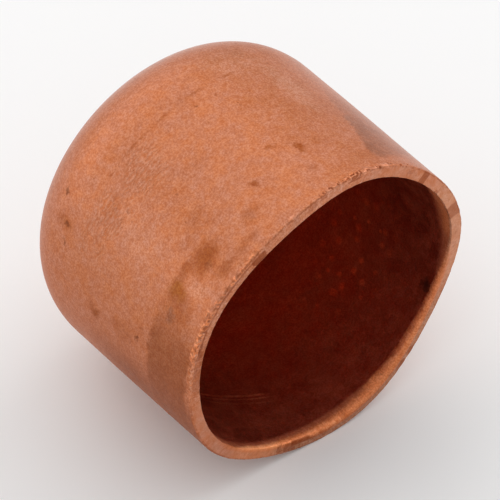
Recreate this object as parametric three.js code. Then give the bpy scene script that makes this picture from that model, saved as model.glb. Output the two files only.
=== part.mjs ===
// A half-inch end-feed pipe cap: one cup deep-drawn from copper sheet, with a domed end and a plain socket
// that slides over the end of a copper tube and is soldered there. It is a single piece of metal.
//
// Frame: millimetres, +Z up. The cap lies on its side. The origin is the centre of the mouth, where the tube
// goes in. The cap's axis is the Y axis: the mouth faces -Y and the domed end is towards +Y.
import * as THREE from "three";

// Driving dimensions
const SOCKET_DIAMETER = 15.98; // takes 15.88 mm (5/8 in) tube with room for solder
const WALL = 0.7;
const OVERALL_LENGTH = 14.74;
const KNUCKLE_RADIUS = 4.1; // outer corner between the wall and the end
const CROWN_RADIUS = 32; // outer curve of the end, which is nearly flat
const CROWN_FLAT_RADIUS = 1.5; // the punch leaves the middle of the end flat

// The trimmed edge of the mouth. Drawing leaves four ears round it, and they aren't quite equal.
const EAR_COUNT = 4;
const EAR_HEIGHT = 0.32; // from the bottom of a dip to the top of an ear
const EAR_ANGLE = 61.6; // degrees from +X towards +Z, where one of the dips is
const LEAN_COUNT = 3; // a smaller wave on top of the ears, which makes one of them the tallest
const LEAN_HEIGHT = 0.116;
const LEAN_ANGLE = 83.2;
const LAND_DEPTH = 0.03; // the tallest ear is worn down by this much, to a small flat land
const OUTER_CHAMFER = 0.1;
const INNER_CHAMFER = 0.06;

// Fineness
const SEGMENTS_ROUND = 96;
const KNUCKLE_STEPS = 9;
const CROWN_STEPS = 4;

const boreRadius = SOCKET_DIAMETER / 2;
const outerRadius = boreRadius + WALL;

// The end's section is two arcs that meet without a corner. The knuckle's centre is at the top of the
// straight wall, and the crown's is on the axis. Both surfaces of the sheet share these centres.
const knuckleCentreRadius = outerRadius - KNUCKLE_RADIUS;
const crownToKnuckle = Math.sqrt((CROWN_RADIUS - KNUCKLE_RADIUS) ** 2 - knuckleCentreRadius ** 2);
const crownCentre = OVERALL_LENGTH - Math.sqrt(CROWN_RADIUS ** 2 - CROWN_FLAT_RADIUS ** 2);
const wallHeight = crownCentre + crownToKnuckle;
const meetingAngle = Math.atan2(crownToKnuckle, knuckleCentreRadius);

/** Points along an arc of the section: x is the distance from the axis, and y the height above the mouth. */
function arc(centreX, centreY, radius, fromAngle, toAngle, steps) {
  const points = [];
  for (let i = 0; i <= steps; i++) {
    const angle = THREE.MathUtils.lerp(fromAngle, toAngle, i / steps);
    const x = centreX + radius * Math.cos(angle);
    const y = centreY + radius * Math.sin(angle);
    points.push(new THREE.Vector2(x, y));
  }
  return points;
}

/** One surface of the end, from the wall to the flat in its middle, at a depth below the outside. */
function endSection(depth) {
  const knuckleRadius = KNUCKLE_RADIUS - depth;
  const crownRadius = CROWN_RADIUS - depth;
  const flatAngle = Math.acos(CROWN_FLAT_RADIUS / crownRadius);
  const knuckle = arc(knuckleCentreRadius, wallHeight, knuckleRadius, 0, meetingAngle, KNUCKLE_STEPS);
  const crown = arc(0, crownCentre, crownRadius, meetingAngle, flatAngle, CROWN_STEPS);
  return [...knuckle, ...crown.slice(1)];
}

/** The whole section: down the inside from the axis to the mouth, across the edge, and up the outside. */
function capSection() {
  const inside = endSection(WALL).reverse();
  const outside = endSection(0);
  return [
    new THREE.Vector2(0, inside.at(0).y),
    ...inside,
    new THREE.Vector2(boreRadius, INNER_CHAMFER),
    new THREE.Vector2(boreRadius + INNER_CHAMFER, 0),
    new THREE.Vector2(outerRadius - OUTER_CHAMFER, 0),
    new THREE.Vector2(outerRadius, OUTER_CHAMFER),
    ...outside,
    new THREE.Vector2(0, outside.at(-1).y),
  ];
}

/** A wave round the mouth that is nothing at its tops and height deep at its dips. */
function wave(angle, count, height, dipAngle) {
  return (height / 2) * (1 + Math.cos(count * (angle - THREE.MathUtils.degToRad(dipAngle))));
}

/** How far the edge stands back from the mouth's plane, at an angle from +X towards +Z. */
function edgeDip(angle) {
  const ears = wave(angle, EAR_COUNT, EAR_HEIGHT, EAR_ANGLE);
  const lean = wave(angle, LEAN_COUNT, LEAN_HEIGHT, LEAN_ANGLE);
  return Math.max(0, ears + lean - LAND_DEPTH);
}

/** The section turned about Y, with the edge of the mouth moved along the axis to follow the ears. */
function capGeometry() {
  const halfStep = Math.PI / SEGMENTS_ROUND; // so that a facet is lowest, not an edge
  const geometry = new THREE.LatheGeometry(capSection(), SEGMENTS_ROUND, halfStep);
  const position = geometry.getAttribute("position");
  for (let i = 0; i < position.count; i++) {
    const height = position.getY(i);
    if (height > OUTER_CHAMFER) continue;
    const angle = Math.atan2(position.getZ(i), position.getX(i));
    position.setY(i, height + edgeDip(angle));
  }
  return geometry;
}

const copper = new THREE.MeshStandardMaterial({ color: 0xc8805f, roughness: 0.5, metalness: 1 });

const cap = new THREE.Mesh(capGeometry(), copper);
cap.name = "cap";

const pipeCap = new THREE.Group();
pipeCap.add(cap);

export default pipeCap;
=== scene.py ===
"""A drawn copper pipe cap: its fine skin, its worn edge and its oxide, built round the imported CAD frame."""
import math

import bpy
import numpy as np
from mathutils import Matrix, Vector


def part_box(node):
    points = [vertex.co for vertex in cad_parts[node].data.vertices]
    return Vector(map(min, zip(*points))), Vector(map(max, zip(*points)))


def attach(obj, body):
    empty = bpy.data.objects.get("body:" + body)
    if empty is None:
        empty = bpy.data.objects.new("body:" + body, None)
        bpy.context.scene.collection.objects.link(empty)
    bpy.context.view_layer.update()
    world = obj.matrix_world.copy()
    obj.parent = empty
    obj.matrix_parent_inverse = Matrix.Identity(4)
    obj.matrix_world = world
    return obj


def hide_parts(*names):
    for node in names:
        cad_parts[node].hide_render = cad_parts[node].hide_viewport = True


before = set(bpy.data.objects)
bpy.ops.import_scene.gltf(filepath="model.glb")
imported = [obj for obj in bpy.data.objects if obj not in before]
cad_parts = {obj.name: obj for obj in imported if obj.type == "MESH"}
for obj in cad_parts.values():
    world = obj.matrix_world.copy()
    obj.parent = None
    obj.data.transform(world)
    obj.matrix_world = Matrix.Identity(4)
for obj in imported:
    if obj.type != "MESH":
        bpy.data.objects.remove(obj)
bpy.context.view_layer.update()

MM = 0.001

# ---------------------------------------------------------------- driving dimensions, in millimetres
# The cap's axis is Y. The mouth is at y = 0 and the domed end is towards +Y.
# Angles round the axis start at +X and grow towards +Z, which is up.
cad_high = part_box("cap")[1] / MM
CAD_SEGMENTS = 96
LENGTH = cad_high.y
OUTER_RADIUS = cad_high.z / math.cos(math.pi / CAD_SEGMENTS)
WALL = 0.7
BORE_RADIUS = OUTER_RADIUS - WALL
KNUCKLE_RADIUS = 4.1
CROWN_RADIUS = 32.0
CROWN_FLAT_RADIUS = 1.5

# The edge is a little wavy: four ears from drawing, and a smaller wave with three tops.
EAR_COUNT, EAR_HEIGHT, EAR_ANGLE = 4, 0.32, 61.6
WAVE_COUNT, WAVE_HEIGHT, WAVE_ANGLE = 3, 0.116, 83.2
LAND_DEPTH = 0.03
WAVE_DEPTH = 3.0

OUTER_LIP = 0.08
INNER_LIP_WIDTH = 0.1
INNER_LIP_LENGTH = 0.3
# The inner lip moves the section only up to this distance outwards from the middle of the edge.
FIXED_FROM = 0.26

# The fine and the middling rows of points end this far from the mouth.
FINE_DEPTH = 1.0
MIDDLE_DEPTH = 2.0

# Points round the cap: at the edge, beside it, and everywhere else.
FINE, MIDDLE, COARSE = 1152, 576, 288

knuckle_centre = OUTER_RADIUS - KNUCKLE_RADIUS
crown_to_knuckle = math.sqrt((CROWN_RADIUS - KNUCKLE_RADIUS) ** 2 - knuckle_centre**2)
crown_centre = LENGTH - math.sqrt(CROWN_RADIUS**2 - CROWN_FLAT_RADIUS**2)
wall_height = crown_centre + crown_to_knuckle
meeting_angle = math.atan2(crown_to_knuckle, knuckle_centre)


# ---------------------------------------------------------------- section
def arc(centre, radii, start, end, steps):
    """Points of an elliptical arc as (radius, height), without its first point."""
    angles = np.linspace(start, end, steps + 1)[1:]
    return np.stack([centre[0] + radii[0] * np.cos(angles), centre[1] + radii[1] * np.sin(angles)], 1)


def straight(start, end, steps):
    """Points of a straight line as (radius, height), without its first point."""
    share = np.linspace(0, 1, steps + 1)[1:, None]
    return np.array(start) * (1 - share) + np.array(end) * share


def domed_end(depth, crown_steps, knuckle_steps):
    """The end from beside the axis to the top of the wall, at a depth below the outside."""
    knuckle = KNUCKLE_RADIUS - depth
    crown = CROWN_RADIUS - depth
    flat_angle = math.acos(CROWN_FLAT_RADIUS / crown)
    rim_of_flat = (CROWN_FLAT_RADIUS, crown_centre + crown * math.sin(flat_angle))
    return np.vstack([
        straight((0, rim_of_flat[1]), rim_of_flat, 3),
        arc((0, crown_centre), (crown, crown), flat_angle, meeting_angle, crown_steps),
        arc((knuckle_centre, wall_height), (knuckle, knuckle), meeting_angle, 0, knuckle_steps),
    ])


def section_rows():
    """The section from the crown, over the edge and up the inside, with how many points each row has."""
    outer_face = OUTER_RADIUS - OUTER_LIP
    inner_face = BORE_RADIUS + INNER_LIP_WIDTH
    stretches = [
        (COARSE, domed_end(0, 12, 24)),
        (COARSE, straight((OUTER_RADIUS, wall_height), (OUTER_RADIUS, MIDDLE_DEPTH), 14)),
        (MIDDLE, straight((OUTER_RADIUS, MIDDLE_DEPTH), (OUTER_RADIUS, FINE_DEPTH), 6)),
        (FINE, straight((OUTER_RADIUS, FINE_DEPTH), (OUTER_RADIUS, OUTER_LIP), 18)),
        (FINE, arc((outer_face, OUTER_LIP), (OUTER_LIP, OUTER_LIP), 0, -math.pi / 2, 5)),
        (FINE, straight((outer_face, 0), (inner_face, 0), 12)),
        (FINE, arc((inner_face, INNER_LIP_LENGTH), (INNER_LIP_WIDTH, INNER_LIP_LENGTH),
                   1.5 * math.pi, math.pi, 9)),
        (FINE, straight((BORE_RADIUS, INNER_LIP_LENGTH), (BORE_RADIUS, FINE_DEPTH), 11)),
        (MIDDLE, straight((BORE_RADIUS, FINE_DEPTH), (BORE_RADIUS, MIDDLE_DEPTH), 5)),
        (COARSE, straight((BORE_RADIUS, MIDDLE_DEPTH), (BORE_RADIUS, wall_height), 12)[:-1]),
        (COARSE, domed_end(WALL, 8, 14)[::-1]),
    ]
    points = np.vstack([stretch for count, stretch in stretches])
    counts = [count for count, stretch in stretches for point in stretch]
    return points, counts


def section_normals(points):
    along = np.gradient(points, axis=0)
    normals = np.stack([-along[:, 1], along[:, 0]], 1)
    return normals / np.linalg.norm(normals, axis=1)[:, None]


def along_section(points):
    """Distance along the section from the middle of the edge, counted as negative towards the bore."""
    travelled = np.concatenate([[0], np.cumsum(np.hypot(*np.diff(points, axis=0).T))])
    face = np.where(points[:, 1] < 1e-6)[0]
    middle = np.interp(-(OUTER_RADIUS + BORE_RADIUS) / 2, -points[face, 0], travelled[face])
    return middle - travelled


# ---------------------------------------------------------------- unevenness
def wave(angle, count, height, dip_angle):
    """A wave round the mouth that is nothing at its tops and height deep at its dips."""
    return height / 2 * (1 + np.cos(count * (angle - math.radians(dip_angle))))


def edge_dip(angle):
    """How far the edge stands back from the mouth's plane."""
    ears = wave(angle, EAR_COUNT, EAR_HEIGHT, EAR_ANGLE)
    smaller = wave(angle, WAVE_COUNT, WAVE_HEIGHT, WAVE_ANGLE)
    return np.maximum(0, ears + smaller - LAND_DEPTH)


def smooth(share):
    share = np.clip(share, 0, 1)
    return share * share * (3 - 2 * share)


def near(angle, centre, reach):
    """1 at an angle in degrees, falling smoothly to 0 at reach degrees from it."""
    apart = np.abs((np.degrees(angle) - centre + 180) % 360 - 180)
    return smooth(1 - apart / reach)


def lumps(angle, along, size, seed):
    """Smooth random values from -1 to 1 in cells of about this size, joined up round the axis."""
    around = round(2 * math.pi * OUTER_RADIUS / size)
    reach = 30
    grid = np.random.default_rng(seed).uniform(-1, 1, (int(2 * reach / size) + 2, around))
    column = angle % (2 * math.pi) / (2 * math.pi) * around
    row = (np.clip(along, -reach, reach) + reach) / size
    left = np.floor(column).astype(int)
    below = np.floor(row).astype(int)
    right_share = smooth(column - left)
    above_share = smooth(row - below)
    value = 0
    for up, up_share in ((0, 1 - above_share), (1, above_share)):
        for turn, turn_share in ((0, 1 - right_share), (1, right_share)):
            value = value + grid[below + up, (left + turn) % around] * up_share * turn_share
    return value


def ridge(along, place, width):
    return np.exp(-(((along - place) / width) ** 2))


# Where the edge was left rough, as angle, reach on either side and share: rolled burrs, then torn pits.
BURR_ANGLES = ((158, 34, 1.0), (128, 26, 0.7), (98, 26, 0.5), (70, 28, 1.0), (-40, 60, 0.12))
PIT_ANGLES = ((66, 30, 1.0), (90, 24, 0.3), (150, 34, 0.1), (-103, 12, 0.5))
BURR_HEIGHT = 0.05
CUT_DEPTH = 0.022
PIT_DEPTH = 0.06
# The relief that the material sees as 1.
FULL_RELIEF = 0.045
# The sawn grain reaches this far from the middle of the edge.
EDGE_REACH = 1.0
FORM_ERROR = 0.016


def rough_share(angle, places):
    share = 0
    for centre, reach, height in places:
        share = share + height * near(angle, centre, reach)
    return np.minimum(share, 1)


def edge_relief(angle, along):
    """How far burrs stand proud of the sawn edge, and how deep its pits and its saw groove are."""
    level = 0 * angle
    burr = rough_share(angle, BURR_ANGLES)
    # curls of metal: thin crests wherever a smooth noise crosses zero
    noise = 0.65 * lumps(angle, along, 0.17, 14) + 0.5 * lumps(angle, along, 0.30, 15)
    crest = 1 - 3.2 * abs(noise)
    patchy = 0.6 + 0.6 * lumps(angle, level, 0.8, 19)
    lower = 0.10 + 0.05 * lumps(angle, level, 0.5, 20)
    upper = 0.62 + 0.10 * lumps(angle, level, 0.6, 21)
    band = smooth((along - lower) / 0.10) * smooth((upper - along) / 0.14)
    rolled = BURR_HEIGHT * burr * patchy * band * np.clip(crest, -0.4, 1)
    sawn = np.minimum(1.5 * near(angle, 152, 32), 1)
    groove_place = 0.12 - 0.14 * smooth((np.degrees(angle) - 145) / 20) + 0.05 * lumps(angle, level, 1.1, 23)
    broken = np.clip(0.55 + 0.9 * lumps(angle, level, 0.5, 22), 0, 1)
    groove = -CUT_DEPTH * sawn * broken * ridge(along, groove_place, 0.045)
    chance = lumps(angle, along, 0.11, 16) + 0.4 * lumps(angle, along, 0.7, 17)
    torn_out = smooth((chance - 0.30) / 0.25) * rough_share(angle, PIT_ANGLES)
    pits = -PIT_DEPTH * torn_out * ridge(along, 0.42, 0.12)
    return rolled + groove + pits


def outward(angle, along):
    """How far form error and sawn grain make the skin stand proud of its plain section."""
    at_edge = smooth((EDGE_REACH - abs(along)) / 0.4)
    form = FORM_ERROR * lumps(angle, along, 4.6, 11) * smooth((14 - abs(along)) / 4)
    grain = at_edge * (0.006 * lumps(angle, along, 0.11, 12) + 0.008 * lumps(angle, along, 0.34, 13))
    return form + grain


def inner_lip(angle):
    """Width and length of the eased inner corner, which is longest at the underside of the mouth."""
    under = near(angle, -70, 90)
    uneven = lumps(angle, np.zeros_like(angle), 3.2, 18)
    width = INNER_LIP_WIDTH * (0.3 + 1.8 * under + 0.08 * uneven)
    length = INNER_LIP_LENGTH * (0.5 + 1.3 * under + 0.15 * uneven)
    return width, length


def shaped(radius, height, along, angle):
    """Radius and height round one row of the section, once it is given its inner lip and its wave."""
    width, length = inner_lip(angle)
    if along < FIXED_FROM:
        lip_share = np.clip((radius - BORE_RADIUS) / INNER_LIP_WIDTH, 0, 1)
        face = OUTER_RADIUS - OUTER_LIP - BORE_RADIUS
        face_share = (radius - BORE_RADIUS - INNER_LIP_WIDTH) / (face - INNER_LIP_WIDTH)
        if face_share > 0:
            radius = BORE_RADIUS + width + face_share * (face - width)
        elif height < FINE_DEPTH:
            radius = BORE_RADIUS + width * lip_share
        if height <= INNER_LIP_LENGTH:
            height = height * length / INNER_LIP_LENGTH
        elif height < FINE_DEPTH:
            below = (FINE_DEPTH - height) / (FINE_DEPTH - INNER_LIP_LENGTH)
            height = height + below * (length - INNER_LIP_LENGTH)
    height = height + edge_dip(angle) * smooth(1 - height / WAVE_DEPTH)
    return radius + 0 * angle, height + 0 * angle


# ---------------------------------------------------------------- mesh
def cap_mesh():
    rows, counts = section_rows()
    normals = section_normals(rows)
    alongs = along_section(rows)
    points = []
    layers = {"along": [], "relief": []}
    starts = []
    total = 0
    for (radius, height), normal, along, count in zip(rows, normals, alongs, counts):
        angle = np.linspace(0, 2 * math.pi, count, endpoint=False)
        around, up = shaped(radius, height, along, angle)
        relief = edge_relief(angle, along + 0 * angle)
        proud = outward(angle, along + 0 * angle) + relief
        around = around + normal[0] * proud
        up = up + normal[1] * proud
        points.append(np.stack([around * np.cos(angle), up, around * np.sin(angle)], 1))
        layers["along"].append(np.full(count, along))
        layers["relief"].append(np.clip(relief / FULL_RELIEF, -1, 1))
        starts.append(total)
        total += count
    faces = []
    for first, second, many, few in zip(starts, starts[1:], counts, counts[1:]):
        faces += joined_rows(first, second, many, few)
    outer_pole = total
    inner_pole = total + 1
    last = starts[-1]
    for here in range(COARSE):
        there = (here + 1) % COARSE
        faces.append((there, here, outer_pole))
        faces.append((last + here, last + there, inner_pole))
    points.append(np.array([(0, LENGTH, 0), (0, LENGTH - WALL, 0)]))
    layers["along"].append(np.array([alongs[0] + rows[0][0], alongs[-1] - rows[-1][0]]))
    layers["relief"].append(np.zeros(2))
    mesh = bpy.data.meshes.new("cap_skin")
    mesh.from_pydata((np.vstack(points) * MM).tolist(), [], faces)
    mesh.shade_smooth()
    for name, values in layers.items():
        layer = mesh.attributes.new(name, "FLOAT", "POINT")
        layer.data.foreach_set("value", np.concatenate(values).astype(np.float32))
    mesh.validate()
    return mesh


def joined_rows(first, second, count, next_count):
    """Faces between two rows. Where one row has twice the points, three triangles fill each step."""
    faces = []
    for here in range(min(count, next_count)):
        there = (here + 1) % min(count, next_count)
        if count == next_count:
            faces.append((first + here, first + there, second + there, second + here))
        elif count < next_count:
            middle = 2 * here + 1
            end = (middle + 1) % next_count
            faces.append((first + here, second + middle, second + 2 * here))
            faces.append((first + here, first + there, second + middle))
            faces.append((first + there, second + end, second + middle))
        else:
            middle = 2 * here + 1
            end = (middle + 1) % count
            faces.append((second + here, first + 2 * here, first + middle))
            faces.append((second + here, first + middle, second + there))
            faces.append((second + there, first + middle, first + end))
    return faces


# ---------------------------------------------------------------- material
class Graph:
    """A material's nodes, written as a formula. Lengths are in millimetres."""

    def __init__(self, name):
        self.material = bpy.data.materials.new(name)
        self.material.use_nodes = True
        self.tree = self.material.node_tree
        self.shader = self.tree.nodes["Principled BSDF"]
        coordinates = self.node("ShaderNodeTexCoord")
        self.place = self.vector("MULTIPLY", coordinates.outputs["Object"], (1 / MM, 1 / MM, 1 / MM))
        self.along = self.node("ShaderNodeAttribute", attribute_name="along").outputs["Fac"]
        self.relief = self.node("ShaderNodeAttribute", attribute_name="relief").outputs["Fac"]
        self.turn, self.height = self.turn_and_height(self.place)

    def node(self, kind, **settings):
        made = self.tree.nodes.new(kind)
        for name, value in settings.items():
            setattr(made, name, value)
        return made

    def feed(self, socket, value):
        if isinstance(value, bpy.types.NodeSocket):
            self.tree.links.new(value, socket)
        elif socket.type == "RGBA":
            socket.default_value = (*value, 1)
        else:
            socket.default_value = value

    def math(self, operation, *values):
        made = self.node("ShaderNodeMath", operation=operation)
        for socket, value in zip(made.inputs, values):
            self.feed(socket, value)
        return made.outputs[0]

    def plus(self, first, *others):
        for other in others:
            first = self.math("ADD", first, other)
        return first

    def times(self, first, *others):
        for other in others:
            first = self.math("MULTIPLY", first, other)
        return first

    def without(self, share):
        """What is left of 1 when a share is taken."""
        return self.math("SUBTRACT", 1.0, share)

    def vector(self, operation, *values):
        made = self.node("ShaderNodeVectorMath", operation=operation)
        for socket, value in zip(made.inputs, values):
            self.feed(socket, value)
        return made.outputs["Value" if operation in ("LENGTH", "DISTANCE") else "Vector"]

    def joined(self, across, up):
        """Flat coordinates from two numbers."""
        made = self.node("ShaderNodeCombineXYZ")
        self.feed(made.inputs[0], across)
        self.feed(made.inputs[1], up)
        return made.outputs[0]

    def turn_and_height(self, where):
        """Degrees round the axis, from -90 to 270 with the seam under the cap, and height above the mouth."""
        parts = self.node("ShaderNodeSeparateXYZ")
        self.feed(parts.inputs[0], where)
        from_top = self.math("DEGREES", self.math("ARCTAN2", parts.outputs[0], parts.outputs[2]))
        return self.math("SUBTRACT", 90.0, from_top), parts.outputs[1]

    def streaked(self, turn, height, stretch):
        """Coordinates on the wall, rolled flat and drawn out round the axis."""
        return self.joined(self.times(turn, math.radians(OUTER_RADIUS) / stretch), height)

    def noise(self, cell, detail=2.0, roughness=0.5, where=None, colour=False):
        """Noise from 0 to 1 whose lumps are about this many millimetres across."""
        made = self.node("ShaderNodeTexNoise")
        self.feed(made.inputs["Vector"], where or self.place)
        self.feed(made.inputs["Scale"], 1 / cell)
        self.feed(made.inputs["Detail"], detail)
        self.feed(made.inputs["Roughness"], roughness)
        return made.outputs["Color" if colour else "Fac"]

    def shift(self, cell, detail, reach):
        """A random shift of about this reach, which makes the limits of stains ragged."""
        centred = self.vector("SUBTRACT", self.noise(cell, detail, 0.6, colour=True), (0.5, 0.5, 0.5))
        return self.vector("MULTIPLY", centred, (reach, reach, reach))

    def ramp(self, value, low, high, start=0.0, end=1.0):
        """Smoothly from start, where the value is low, to end, where it is high."""
        made = self.node("ShaderNodeMapRange", interpolation_type="SMOOTHSTEP")
        for socket, number in zip(made.inputs, (value, low, high, start, end)):
            self.feed(socket, number)
        return made.outputs[0]

    def window(self, value, low, high, soft):
        """1 while the value is from low to high, falling softly to nothing outside."""
        return self.times(self.ramp(value, low - soft, low), self.ramp(value, high + soft, high))

    def mix(self, share, first, second, blend="MIX"):
        made = self.node("ShaderNodeMix", data_type="RGBA", blend_type=blend)
        self.feed(made.inputs[0], share)
        self.feed(made.inputs[6], first)
        self.feed(made.inputs[7], second)
        return made.outputs[2]

    def tinted(self, colour, tint):
        """A colour multiplied by a tint."""
        return self.mix(1.0, colour, tint, "MULTIPLY")

    def total(self, shares):
        """The sum of several masks, kept at 1 or less."""
        return self.math("MINIMUM", self.plus(*shares), 1.0)

    def spots(self, spacing, size, share, where, dimensions="3D"):
        """Soft round spots, of about this size across, in this share of cells of this spacing."""
        made = self.node("ShaderNodeTexVoronoi", voronoi_dimensions=dimensions)
        self.feed(made.inputs["Vector"], where)
        self.feed(made.inputs["Scale"], 1 / spacing)
        away = self.times(made.outputs["Distance"], spacing)
        parts = self.node("ShaderNodeSeparateColor")
        self.feed(parts.inputs[0], made.outputs["Color"])
        chosen = self.math("LESS_THAN", parts.outputs[0], share)
        reach = self.ramp(parts.outputs[1], 0, 1, 0.35 * size, 0.75 * size)
        round_spot = self.without(self.math("DIVIDE", away, reach))
        return self.times(chosen, self.ramp(round_spot, 0, 0.8))

    def patch(self, where, stain, core=0.25, radius=OUTER_RADIUS):
        """A soft patch on a wall, used for stains and for painted light: its angle, height above the mouth,
        half width, half height and strength.
        """
        degrees, height, half_around, half_along, strength = stain
        offset = self.vector("SUBTRACT", where, on_wall(degrees, height, radius))
        scaled = self.vector("MULTIPLY", offset, (1 / half_around, 1 / half_along, 1 / half_around))
        return self.ramp(self.vector("LENGTH", scaled), core, 1.0, strength, 0.0)

    def patches(self, where, stains, core=0.25):
        return self.total([self.patch(where, stain, core) for stain in stains])


def on_wall(degrees, height, radius):
    angle = math.radians(degrees)
    return (radius * math.cos(angle), height, radius * math.sin(angle))


# Colours are the metal's own, before the light falls on it, save for the painted light and shade marked
# below: those of the drawn wall and its stains,
SALMON = (0.540, 0.202, 0.107)
COPPER = (0.520, 0.167, 0.066)
# pale copper, also used as painted highlight
PALE_AND_PAINTED_HIGHLIGHT = (0.60, 0.270, 0.165)
OCHRE = (0.350, 0.085, 0.018)
YELLOW = (0.37, 0.100, 0.016)
UMBER_STAIN_AND_PAINTED_SHADE = (0.335, 0.093, 0.030)
FURROW = (0.44, 0.125, 0.042)
BROWN = (0.220, 0.056, 0.016)
REFLECTION_GREY = (0.330, 0.115, 0.056)
SLATE = (0.270, 0.105, 0.060)
# those of the cut edge with its burr and pits, and of the bare lip inside it,
CUT_PINK = (0.62, 0.265, 0.158)
CUT_ORANGE = (0.60, 0.215, 0.104)
CUT_ROSE = (0.685, 0.360, 0.217)
CUT_DULL = (0.47, 0.225, 0.135)
CUT_BROWN = (0.33, 0.078, 0.024)
# the burr's crests get painted highlight, and its pits and saw groove get painted shade:
CREST_PAINTED_HIGHLIGHT = (0.82, 0.270, 0.110)
CREST_PALE_PAINTED_HIGHLIGHT = (0.74, 0.295, 0.160)
PIT_PAINTED_SHADE = (0.27, 0.070, 0.026)
# the bare lip's colours, brightened in part as painted light, and a painted glint:
LIP_ORANGE_AND_PAINTED_LIGHT = (0.66, 0.215, 0.085)
LIP_BRIGHT_AND_PAINTED_LIGHT = (0.83, 0.258, 0.092)
PAINTED_GLINT_COLOUR = (1.00, 0.400, 0.170)
SCORCHED = (0.44, 0.115, 0.050)
# and those of the oxide in the socket.
OXIDE_NEAR = (0.43, 0.088, 0.044)
OXIDE_DEEP_PAINTED_LIGHTER = (0.51, 0.120, 0.049)
OXIDE_SPOT = (0.95, 0.200, 0.070)
OXIDE_STREAK = (0.70, 0.240, 0.120)
SOOT = (0.10, 0.025, 0.014)
# Tints multiply a colour.
PLAIN = (1.0, 1.0, 1.0)
GRAIN_DARK = (0.890, 0.790, 0.68)
GRAIN_LIGHT = (1.110, 1.210, 1.30)
BLOTCH_DARK = (0.965, 0.915, 0.84)
BLOTCH_LIGHT = (1.035, 1.095, 1.18)
OXIDE_DARK = (0.92, 0.9, 0.9)
OXIDE_LIGHT = (1.08, 1.1, 1.1)

# Stains on the wall where the photo has them, and pale areas that are partly painted highlight, each as
# angle, height above the mouth, half width round the cap, half height and strength.
PALE_AREAS_AND_HIGHLIGHTS = (
    (64, 7.5, 1.0, 3.2, 0.6),
    (75, 10.2, 2.4, 1.6, 0.35),
    (143, 6.0, 1.4, 2.4, 0.25),
    (142, 1.6, 0.6, 0.8, 0.4),
)
OCHRE_STAINS = (
    (133, 2.3, 1.4, 1.0, 1.0),
    (131, 1.1, 1.0, 0.5, 0.7),
    (140.5, 2.9, 0.7, 0.5, 0.75),
    (152, 2.2, 1.4, 1.3, 0.6),
    (113, 1.9, 0.9, 0.6, 0.45),
    (121, 1.0, 1.2, 0.4, 0.45),
    (125, 4.1, 0.9, 0.4, 0.35),
    (104.5, 3.0, 0.32, 0.32, 0.9),
    (84, 3.45, 0.34, 0.6, 1.0),
    (87, 2.0, 0.3, 0.5, 0.4),
    (91, 4.25, 0.42, 0.3, 0.9),
    (178, 7.4, 0.6, 0.65, 1.0),
    (176, 5.4, 0.9, 1.2, 0.3),
    (155, 10.6, 0.7, 0.9, 0.5),
    (140, 8.4, 1.3, 0.5, 0.35),
    (98, 8.9, 0.3, 0.3, 0.4),
)
YELLOW_STAIN = (147, 2.7, 0.8, 0.85, 1.0)
SLATE_STAIN = (156, 2.45, 0.60, 0.36, 0.6)
BROWN_SPOTS = (
    (155, 10.4, 0.32, 0.26, 0.9),
    (161.5, 10.3, 0.2, 0.2, 0.7),
    (147, 11.3, 0.26, 0.22, 0.9),
    (141, 12.1, 0.22, 0.2, 0.5),
    (178, 7.5, 0.22, 0.25, 0.5),
    (173, 4.25, 0.2, 0.16, 0.9),
    (76, 12.0, 0.3, 0.25, 0.6),
    (133.5, 1.9, 0.3, 0.25, 0.4),
    (155, 3.0, 0.2, 0.2, 0.5),
    (97.5, 8.8, 0.12, 0.12, 0.7),
)

# Ranges are first limit, last limit and softness: turns in degrees, heights in mm above the mouth.
# the turns under the cap that are painted with shade, and the heights of the stain on the left flank
PAINTED_SHADE_UNDERSIDE_TURN, FLANK_HEIGHT = (196, 235, 18), (0.7, 3.2, 0.35)
DIE_LINE_TURN, DIE_LINE_HEIGHT = (80, 132, 6), (9.43, 9.50, 0.10)
RIPPLED_TURN, RIPPLED_HEIGHT = (120, 158, 8), (7.4, 9.0, 0.7)

# The edge is duller underneath, and its bare lip is brighter there, partly as painted light falling into the
# mouth, with one painted glint.
DULL_CUT = (-68, 0.3, 8.2, 6.0, 1.0)
PAINTED_LIGHT_ON_LIP = (-78, 0.3, 11.0, 6.0, 1.0)
PAINTED_GLINT = (-122, 0.3, 2.6, 3.0, 0.7)
SMEAR_SOFT = 0.08
ROSE_TURN = (-15, 25, 12)
CLEAN_RIGHT, CLEAN_LEFT = (-15, 62, 15), (190, 243, 12)
# Two brown bands right across the cut, as first angle, last angle, softness and strength.
CUT_BANDS = ((40.8, 43.4, 0.5, 0.75), (13.0, 18.5, 1.0, 0.6))
# Smears on the edge, each as first angle, last angle, softness, inner and outer limit and strength.
# The limits are distances from the middle of the edge, and grow outwards.
CUT_SMEARS = (
    (119.0, 124.6, 0.8, -0.5, 0.1, 0.9),
    (119.5, 124.0, 1.0, 0.1, 0.4, 0.45),
    (91.5, 93, 0.6, 0.1, 0.25, 0.6),
    (95.5, 98.5, 0.8, -0.05, 0.25, 0.4),
    (103, 105.5, 0.8, -0.05, 0.25, 0.3),
    (75, 79.5, 0.8, 0.08, 0.4, 0.75),
    (161.5, 163.5, 0.6, -0.15, 0.0, 0.7),
    (150.5, 152.5, 0.6, 0.15, 0.45, 0.8),
    (31, 33, 0.5, -0.25, -0.15, 0.6),
    (-57, -53, 0.8, 0.0, 0.4, 0.6),
    (-50.5, -47, 0.8, 0.0, 0.4, 0.65),
    (249, 250.5, 0.5, -0.3, 0.2, 0.5),
    (252, 256.5, 1.2, -0.25, 0.2, 0.6),
    (257, 263, 1.2, -0.3, -0.12, 0.9),
    (267.5, 271, 1.0, -0.3, 0.1, 0.35),
)
CUT_END = (160, 176, 4, -0.25, 0.12, 0.5)
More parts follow.
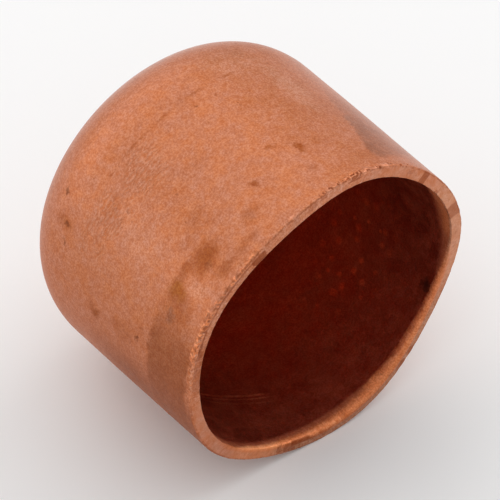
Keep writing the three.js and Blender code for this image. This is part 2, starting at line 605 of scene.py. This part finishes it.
# Ranges along the section are distances from the middle of the edge.
CUT_LINE_TURN, CUT_LINE_ALONG = (126, 160, 4), (0.07, 0.12, 0.05)
CORNER_ALONG = (0.27, 0.36, 0.04)

# Arcs in the socket, as lower limit, upper limit, softness and strength at the angle where they start.
SOCKET_ARCS = ((4.83, 4.91, 0.08, 0.9), (4.56, 4.61, 0.07, 0.65), (4.20, 4.25, 0.07, 0.4))
ARC_START = 242.0
ARC_SLOPE = 0.056
ARCS_TURN = (241, 261, 4)
SPOTTED_AREA = (-33, 5.8, 4.6, 3.0, 0.5)
SOOT_SPOT = (-26, 0.98, 0.6, 0.48, 0.95)
# The bare lip is short and light brown on the right, and in one stretch the oxide begins crisply.
SHORT_LIP_TURN = (-26, 30, 4)
LIGHT_LIP_TURN = (6, 32, 8)
CRISP_TURN = (-48, -20, 12)

# The painted dark reflection's limit slants: it is at this angle at the mouth, and this many degrees less
# each mm up.
REFLECTION_LIMIT = 67.0
REFLECTION_SLANT = 2.4

COAT_ROUGHNESS = 0.18
SPECULAR_TINT = (0.85, 0.72, 0.68)
BUMP_HEIGHT = 0.012


def outside_colour(g, wobbled, turn, height):
    """Salmon and copper mottling, ochre flecks and the stains of handling and storage, with painted
    highlights, painted shade under the cap and a painted dark reflection on the right flank.
    """
    mottle = g.ramp(g.noise(0.9, 5, 0.72), 0.34, 0.66)
    colour = g.mix(mottle, COPPER, SALMON)
    cloud = g.ramp(g.noise(2.2, 4, 0.62, where=wobbled), 0.52, 0.72, 0, 0.22)
    colour = g.mix(cloud, colour, OCHRE)
    # pale areas, partly painted highlight and sheen
    colour = g.mix(g.patches(wobbled, PALE_AREAS_AND_HIGHLIGHTS, core=0.2), colour, PALE_AND_PAINTED_HIGHLIGHT)

    # the tarnished left flank near the mouth: its upper limit is 3.5 mm from the mouth; further round, under
    # the cap, it climbs higher as painted shade of the underside
    low = g.times(g.ramp(turn, 149, 168), g.window(height, *FLANK_HEIGHT))
    # painted shade on the underside, fading out from 5 to 9 mm above the mouth
    side = g.times(g.window(turn, *PAINTED_SHADE_UNDERSIDE_TURN), g.ramp(height, 9.0, 5.0, 0, 0.9))
    blotted = g.ramp(g.noise(0.6, 4, 0.65), 0.3, 0.7, 0.75, 1.0)
    colour = g.mix(g.times(g.math("MAXIMUM", low, side), blotted), colour, UMBER_STAIN_AND_PAINTED_SHADE)
    colour = g.mix(g.patches(wobbled, OCHRE_STAINS), colour, OCHRE)
    colour = g.mix(g.patch(wobbled, YELLOW_STAIN), colour, YELLOW)

    # flecks drawn out round the cap by the die, and the line where the wall left it
    drawn = g.streaked(turn, height, 3.0)
    flecks = g.spots(0.5, 0.17, 0.35, drawn)
    broken = g.ramp(g.noise(0.35, 3, 0.7, where=drawn), 0.4, 0.6)
    colour = g.mix(g.times(flecks, broken, 0.55), colour, OCHRE)
    line = g.times(g.window(g.height, *DIE_LINE_HEIGHT), g.window(g.turn, *DIE_LINE_TURN))
    colour = g.mix(g.times(line, broken, 0.6), colour, OCHRE)
    specks = g.spots(0.5, 0.13, 0.3, wobbled)
    colour = g.mix(g.times(specks, 0.45), colour, BROWN)
    colour = g.mix(g.patches(wobbled, BROWN_SPOTS), colour, BROWN)
    colour = g.mix(g.patch(wobbled, SLATE_STAIN, core=0.3), colour, SLATE)
    # a painted dark reflection on the right flank
    return g.mix(painted_dark_reflection(g, turn, height), colour, REFLECTION_GREY)


def painted_dark_reflection(g, turn, height):
    """A painted dark reflection on the right flank: grey, with a crisp slanting limit and darkest just beside
    it.
    """
    past_limit = g.math("SUBTRACT", g.plus(turn, g.times(height, REFLECTION_SLANT)), REFLECTION_LIMIT)
    share = g.times(g.ramp(past_limit, 1.2, -1.2), g.ramp(past_limit, -24, -3, 0.35, 0.95))
    in_height = g.times(g.ramp(height, 0.9, 1.6), g.ramp(height, 8.5, 3.0))
    patchy = g.ramp(g.noise(0.7, 4, 0.65), 0.35, 0.6, 0.6, 1.0)
    return g.times(share, g.ramp(turn, -70, -20), in_height, patchy)


def smear(g, turn, low, high, soft, inner, outer, strength):
    """A smear on the edge, between two angles and two distances from the middle of the edge."""
    return g.times(g.window(turn, low, high, soft), g.window(g.along, inner, outer, SMEAR_SOFT), strength)


def edge_colour(g, wobbled, turn):
    """The sawn face: pinkish bare copper, more orange towards the bore, with painted light and a painted
    glint on the lip underneath, and brown smears across it.
    """
    tone = g.ramp(g.noise(0.8, 4, 0.65), 0.35, 0.65)
    colour = g.mix(tone, CUT_ORANGE, CUT_PINK)
    colour = g.mix(g.times(g.window(g.turn, *ROSE_TURN), 0.4), colour, CUT_ROSE)
    colour = g.mix(g.times(g.patch(g.place, DULL_CUT, core=0.6), 0.75), colour, CUT_DULL)
    # painted light on the bare lip underneath, where light falls into the mouth
    lip = g.patch(g.place, PAINTED_LIGHT_ON_LIP, core=0.7)
    colour = g.mix(g.times(g.ramp(g.along, -0.02, -0.2), lip), colour, LIP_ORANGE_AND_PAINTED_LIGHT)
    colour = g.mix(g.times(g.ramp(g.along, -0.26, -0.36), lip), colour, LIP_BRIGHT_AND_PAINTED_LIGHT)
    # a painted glint on the lip
    painted_glint = g.times(g.patch(g.place, PAINTED_GLINT, core=0.4), g.ramp(g.along, -0.1, -0.3, 0.4, 1.0))
    colour = g.mix(painted_glint, colour, PAINTED_GLINT_COLOUR)
    clouds = g.ramp(g.noise(0.5, 4, 0.65, where=wobbled), 0.57, 0.70, 0, 0.4)
    colour = g.mix(clouds, colour, CUT_BROWN)
    bands = [g.times(g.window(g.turn, low, high, soft), strength) for low, high, soft, strength in CUT_BANDS]
    smears = [smear(g, turn, *place) for place in CUT_SMEARS]
    colour = g.mix(g.total(bands + smears), colour, CUT_BROWN)

    # a broken brown line where the saw's cut meets the rolled burr, and a brown zone at its end
    meander = g.times(g.math("SUBTRACT", g.noise(1.2, 2), 0.5), 0.1)
    cut_line = g.window(g.plus(g.along, meander), *CUT_LINE_ALONG)
    cut_line = g.times(cut_line, g.window(turn, *CUT_LINE_TURN), 0.8)
    broken = g.ramp(g.noise(0.4, 4, 0.7), 0.38, 0.56, 0.25, 1.0)
    colour = g.mix(g.times(g.plus(cut_line, smear(g, turn, *CUT_END)), broken), colour, CUT_BROWN)
    worn = g.ramp(g.noise(0.3, 3, 0.6), 0.4, 0.6, 0, 0.6)
    corner = g.times(g.window(g.along, *CORNER_ALONG), worn)
    return g.mix(corner, colour, CUT_BROWN)


def socket_colour(g, wobbled):
    """Dark red oxide left by annealing, painted lighter deeper in as painted light, with brighter round
    spots, some fine arcs and one black spot.
    """
    # the oxide is painted lighter deeper in, as painted light standing in for light bounced round inside the
    # socket
    colour = g.mix(g.ramp(g.along, -1.5, -9.0), OXIDE_NEAR, OXIDE_DEEP_PAINTED_LIGHTER)
    cloud = g.ramp(g.noise(1.4, 4, 0.6), 0.35, 0.65)
    colour = g.tinted(colour, g.mix(cloud, OXIDE_DARK, OXIDE_LIGHT))
    spotted = g.plus(g.patch(g.place, SPOTTED_AREA, core=0.4, radius=BORE_RADIUS), 0.06)
    spots = g.spots(0.8, 0.50, 0.7, g.streaked(g.turn, g.height, 1.0), "2D")
    colour = g.mix(g.times(spots, spotted), colour, OXIDE_SPOT)
    # fine arcs left by the punch
    slanted = g.plus(g.height, g.times(g.math("SUBTRACT", g.turn, ARC_START), ARC_SLOPE))
    arcs = g.total([g.times(g.window(slanted, low, high, soft), strength)
                    for low, high, soft, strength in SOCKET_ARCS])
    colour = g.mix(g.times(arcs, g.window(g.turn, *ARCS_TURN)), colour, OXIDE_STREAK)
    return g.mix(g.patch(wobbled, SOOT_SPOT, radius=BORE_RADIUS), colour, SOOT)


def scorched_and_oxidised(g):
    """How far the socket's wall is scorched and oxidised, from how deep both begin at each angle."""
    ragged = g.times(g.math("SUBTRACT", g.noise(0.6, 4, 0.65), 0.5), 0.3)
    depth = g.plus(g.math("SUBTRACT", -0.35, g.along), ragged)

    underside = g.math("MAXIMUM", g.ramp(g.turn, -4, -26), g.ramp(g.turn, 224, 244))
    bare_end = g.times(underside, g.ramp(g.turn, -54, -74, 0.34, 0.12))
    bare_end = g.math("MAXIMUM", bare_end, g.window(g.turn, *SHORT_LIP_TURN))
    bare_end = g.math("MINIMUM", bare_end, g.ramp(g.turn, -26, -14, 0.34, 0.12))
    scorched = g.ramp(g.math("SUBTRACT", depth, bare_end), -0.08, 0.14)

    on_left = g.ramp(g.turn, 60, 120)
    right_start = g.plus(g.ramp(g.turn, -50, -82, 0.17, 0.54), g.ramp(g.turn, -28, 12, 0.0, 0.93))
    left_start = g.plus(g.ramp(g.turn, 232, 200, 0.45, 0.85), g.ramp(g.turn, 245, 268, 0.0, 0.09))
    oxide_start = g.plus(g.times(right_start, g.without(on_left)), g.times(left_start, on_left))
    past_start = g.math("SUBTRACT", depth, oxide_start)
    # the limit is soft, most of all on the right, but crisp in one short stretch
    softness = g.plus(g.ramp(g.turn, -25, 10, 0.25, 0.7), g.ramp(g.turn, 90, 120, 0, 0.25))
    softness = g.times(softness, g.ramp(g.turn, 60, 120, -1.0, -0.25))
    crisp = g.times(g.window(g.turn, *CRISP_TURN), g.ramp(past_start, -0.04, 0.04))
    return scorched, g.math("MAXIMUM", g.ramp(past_start, softness, 0.15), crisp)


def grained(g, colour):
    """The colour with its fine grain, and with the saw's strokes on the edge."""
    to_middle = g.math("ABSOLUTE", g.along)
    # the cut is clean on the right and at the lower left, and rougher elsewhere
    clean = g.math("MAXIMUM", g.window(g.turn, *CLEAN_RIGHT), g.window(g.turn, *CLEAN_LEFT))
    clean = g.times(clean, g.ramp(to_middle, 0.42, 0.34))
    grain = g.mix(g.ramp(g.noise(0.1, 2, 0.7), 0.36, 0.64), GRAIN_DARK, GRAIN_LIGHT)
    colour = g.tinted(colour, g.mix(g.times(clean, 0.7), grain, PLAIN))
    across_edge = g.joined(g.times(g.turn, math.radians(OUTER_RADIUS)), g.times(g.along, 0.25))
    strokes = g.ramp(g.noise(0.15, 2, 0.6, where=across_edge), 0.36, 0.64)
    patchy = g.ramp(g.noise(1.6, 3), 0.35, 0.65, 0.15, 0.75)
    share = g.times(g.ramp(to_middle, 0.75, 0.55), patchy, g.without(g.times(clean, 0.75)))
    return g.tinted(colour, g.mix(share, PLAIN, g.mix(strokes, GRAIN_DARK, GRAIN_LIGHT)))


def ripples(g, turn, height):
    """Where the wall is rippled, as it was stretched most, and how deep in a furrow each place is."""
    rippled = g.times(g.window(turn, *RIPPLED_TURN), g.window(height, *RIPPLED_HEIGHT))
    rippled = g.times(rippled, g.ramp(g.noise(1.1, 3, 0.6), 0.35, 0.52))
    drawn = g.streaked(g.turn, g.height, 1.8)
    furrow = g.ramp(g.noise(0.14, 2, 0.5, where=drawn), 0.60, 0.42)
    return rippled, furrow


def dust(g, on_face, oxidised):
    """A thin film of dust and grease, which makes the knuckle and the right flank look paler."""
    film = g.times(g.ramp(g.height, 11.0, 13.3), g.ramp(g.turn, 150, 90, 0.12, 0.32))
    film = g.plus(film, g.ramp(g.turn, 62, 42, 0.25, 0.38))
    film = g.times(film, g.ramp(g.turn, 145, 180, 1.0, 0.55))
    # it is even under the cap, so that the turn's seam doesn't show
    from_top = g.math("ABSOLUTE", g.math("SUBTRACT", g.turn, 90.0))
    under = g.ramp(from_top, 120, 170)
    film = g.plus(g.times(film, g.without(under)), g.times(under, 0.2))
    film = g.times(film, g.ramp(on_face, 0, 1, 1.0, 0.35), g.ramp(g.relief, -0.1, -0.5, 1.0, 0.2))
    return g.times(film, g.without(oxidised))


def copper():
    g = Graph("copper")
    wobbled = g.vector("ADD", g.vector("ADD", g.place, g.shift(0.7, 3, 0.9)), g.shift(0.16, 2, 0.3))
    turn, height = g.turn_and_height(wobbled)
    scorched, oxidised = scorched_and_oxidised(g)
    rippled, furrow = ripples(g, turn, height)

    on_face = g.ramp(g.along, 0.40, 0.30)
    colour = g.mix(on_face, outside_colour(g, wobbled, turn, height), edge_colour(g, wobbled, turn))
    # painted highlight on the burr's crests, by how far they stand proud, and painted shade in its pits and
    # saw groove, by how deep they sink
    crest = g.times(g.ramp(g.relief, 0.05, 0.55), g.ramp(g.noise(0.5, 2), 0.3, 0.7, 0.45, 1.0))
    colour = g.mix(crest, colour, g.mix(g.ramp(g.turn, 105, 140), CREST_PALE_PAINTED_HIGHLIGHT, CREST_PAINTED_HIGHLIGHT))
    colour = g.mix(g.ramp(g.relief, -0.08, -0.6), colour, PIT_PAINTED_SHADE)
    # the bare lip on the right is light brown, partly as painted light
    light_brown = g.times(g.window(g.turn, *LIGHT_LIP_TURN), 0.55)
    colour = g.mix(scorched, colour, g.mix(light_brown, SCORCHED, LIP_BRIGHT_AND_PAINTED_LIGHT))
    colour = g.mix(oxidised, colour, socket_colour(g, wobbled))
    colour = grained(g, colour)
    # the rippled zone is painted paler between its furrows as a painted highlight, with darker lines along
    # the furrows
    colour = g.mix(g.times(rippled, 0.4), colour, g.mix(furrow, PALE_AND_PAINTED_HIGHLIGHT, FURROW))
    blotch = g.ramp(g.noise(0.33, 3, 0.6), 0.36, 0.64)
    colour = g.tinted(colour, g.mix(blotch, BLOTCH_DARK, BLOTCH_LIGHT))
    g.feed(g.shader.inputs["Base Color"], colour)

    # the lip inside the bore is dull, up to where the oxide begins
    dull = g.times(g.ramp(g.along, -0.26, -0.42), g.without(oxidised))
    g.feed(g.shader.inputs["Metallic"], g.without(g.times(dull, 0.75)))
    g.feed(g.shader.inputs["Roughness"], g.ramp(g.noise(0.9, 4, 0.6), 0.3, 0.7, 0.42, 0.56))
    g.feed(g.shader.inputs["Coat Weight"], dust(g, on_face, oxidised))
    g.feed(g.shader.inputs["Coat Roughness"], COAT_ROUGHNESS)
    g.feed(g.shader.inputs["Specular Tint"], SPECULAR_TINT)

    rough = g.node("ShaderNodeBump")
    g.feed(rough.inputs["Strength"], 1.0)
    g.feed(rough.inputs["Distance"], BUMP_HEIGHT * MM)
    heights = g.plus(g.noise(0.12, 3, 0.7), g.noise(0.5, 2, 0.6))
    g.feed(rough.inputs["Height"], g.math("SUBTRACT", heights, g.times(furrow, rippled, 1.1)))
    g.tree.links.new(rough.outputs[0], g.shader.inputs["Normal"])
    return g.material


cap = bpy.data.objects.new("cap_skin", cap_mesh())
bpy.context.scene.collection.objects.link(cap)
cap.data.materials.append(copper())
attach(cap, "root")
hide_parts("cap")

# ---------------------------------------------------------------- camera, floor and light
CAMERA_AZIMUTH = math.radians(-39.8)
CAMERA_ELEVATION = math.radians(46.4)
CAMERA_DISTANCE = 0.3002
LENS = 442.8
AIM = Vector((-1.365, 4.36, 2.215)) * MM


def direction(azimuth, elevation):
    """Unit vector from the cap. Azimuth 0 is in front of the mouth, and 90 degrees is +X."""
    return Vector((
        math.sin(azimuth) * math.cos(elevation),
        -math.cos(azimuth) * math.cos(elevation),
        math.sin(elevation),
    ))


def make_camera():
    data = bpy.data.cameras.new("camera")
    data.lens = LENS
    data.clip_start = 0.01
    camera = bpy.data.objects.new("camera", data)
    towards = direction(CAMERA_AZIMUTH, CAMERA_ELEVATION)
    camera.location = AIM + towards * CAMERA_DISTANCE
    camera.rotation_euler = towards.to_track_quat("Z", "Y").to_euler()
    bpy.context.scene.collection.objects.link(camera)
    bpy.context.scene.camera = camera


def make_floor():
    half = FLOOR_SIDE / 2
    level = -OUTER_RADIUS * MM
    corners = [(x, y, level) for x, y in ((-half, -half), (half, -half), (half, half), (-half, half))]
    mesh = bpy.data.meshes.new("floor")
    mesh.from_pydata(corners, [], [(0, 1, 2, 3)])
    paper = bpy.data.materials.new("paper")
    paper.use_nodes = True
    shader = paper.node_tree.nodes["Principled BSDF"]
    shader.inputs["Base Color"].default_value = FLOOR_COLOUR
    shader.inputs["Roughness"].default_value = 1.0
    shader.inputs["Specular IOR Level"].default_value = 0.0
    mesh.materials.append(paper)
    floor = bpy.data.objects.new("floor", mesh)
    bpy.context.scene.collection.objects.link(floor)


# Softboxes, as azimuth and elevation in degrees, power in watts and side in metres.
SOFTBOXES = {
    "softbox_high": (176, 45, 0.75, 0.6),
    "softbox_right": (90, 36, 0.74, 0.4),
    "softbox_left": (225, 9, 0.58, 0.5),
    "softbox_back": (165, 12, 0.10, 0.5),
}
SOFTBOX_DISTANCE = 0.5
WORLD_STRENGTH = 0.68
FLOOR_SIDE = 2.0
FLOOR_COLOUR = (0.93, 0.93, 0.93, 1)


def make_softbox(name, azimuth, elevation, energy, side):
    data = bpy.data.lights.new(name, "AREA")
    data.shape = "SQUARE"
    data.size = side
    data.energy = energy
    softbox = bpy.data.objects.new(name, data)
    towards = direction(math.radians(azimuth), math.radians(elevation))
    softbox.location = towards * SOFTBOX_DISTANCE
    softbox.rotation_euler = towards.to_track_quat("Z", "Y").to_euler()
    bpy.context.scene.collection.objects.link(softbox)


def make_light():
    world = bpy.data.worlds.new("studio")
    world.use_nodes = True
    background = world.node_tree.nodes["Background"]
    background.inputs["Color"].default_value = (1, 1, 1, 1)
    background.inputs["Strength"].default_value = WORLD_STRENGTH
    bpy.context.scene.world = world
    for name, values in SOFTBOXES.items():
        make_softbox(name, *values)
    bpy.context.scene.view_settings.view_transform = "Standard"


make_camera()
make_floor()
make_light()

bpy.context.view_layer.update()
